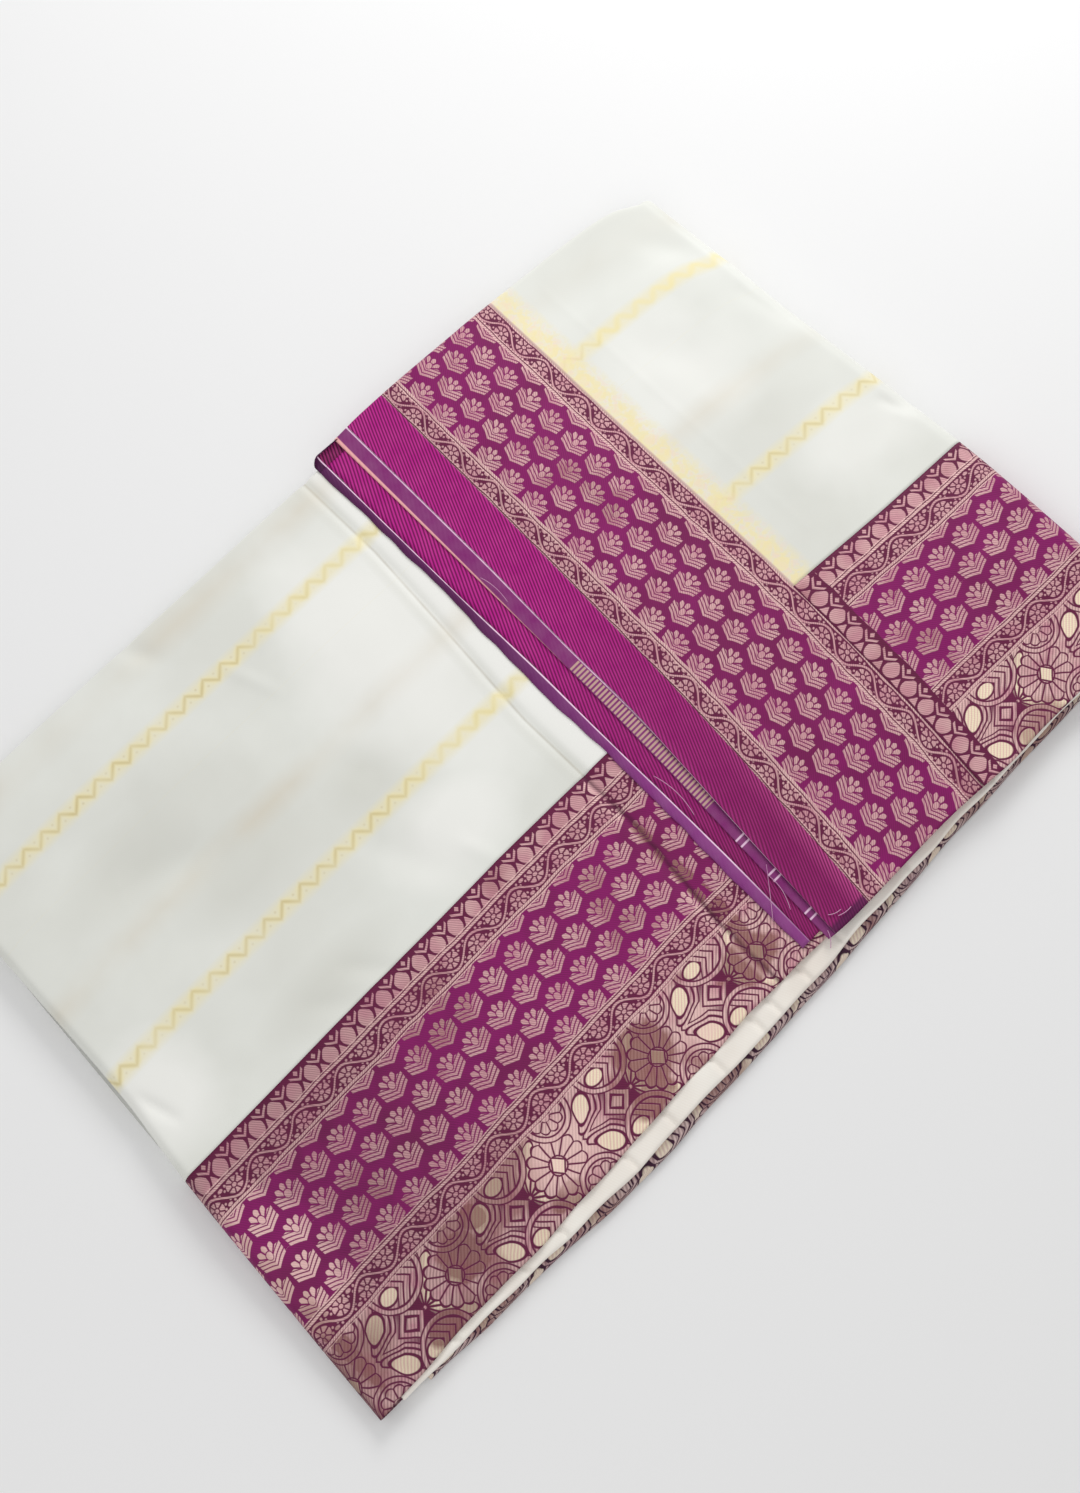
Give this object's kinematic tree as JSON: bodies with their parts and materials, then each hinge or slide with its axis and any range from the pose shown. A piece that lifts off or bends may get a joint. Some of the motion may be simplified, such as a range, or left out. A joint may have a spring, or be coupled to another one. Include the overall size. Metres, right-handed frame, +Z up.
{
  "type": "folded saree",
  "caption": "Saree folded flat into a pack, with the figured end piece turned back over a white body and a wide woven magenta border",
  "frame": {"origin": "centre of the underside's bounding rectangle, on the surface that the pack lies on", "axes": "+X along the length of the cloth, from the left fold to the right fold; +Y from the free selvedges to the fold that halves the width; +Z up"},
  "size_m": [0.8578, 0.5999, 0.032],
  "materials": {
    "body_cloth": "ivory white silk satin with fine woven gold zigzag stripes",
    "inner_cloth": "the same white silk and its border in the hidden folds",
    "border_cloth": "magenta silk with woven rose gold zari motifs",
    "pallu_cloth": "magenta silk with woven rose gold zari lotus motifs across the cloth",
    "twill_cloth": "magenta silk twill with fine diagonal ribs",
    "heading_cloth": "plain weave of mauve and magenta threads, with a ribbed zari block"
  },
  "bodies": {
    "root": {"hidden_folds": "inner_cloth", "lower_body": "body_cloth", "lower_border": "border_cloth", "inner_white_fold": "body_cloth", "bottom_border": "border_cloth", "heading_strip_under": "heading_cloth", "under_twill": "twill_cloth", "flap_under_layer": "inner_cloth", "flap_fold_loop": "twill_cloth", "heading_strip_top": "heading_cloth", "pallu_twill": "twill_cloth", "pallu_band": "pallu_cloth", "flap_body": "body_cloth", "flap_border": "border_cloth"}
  },
  "joints": []
}
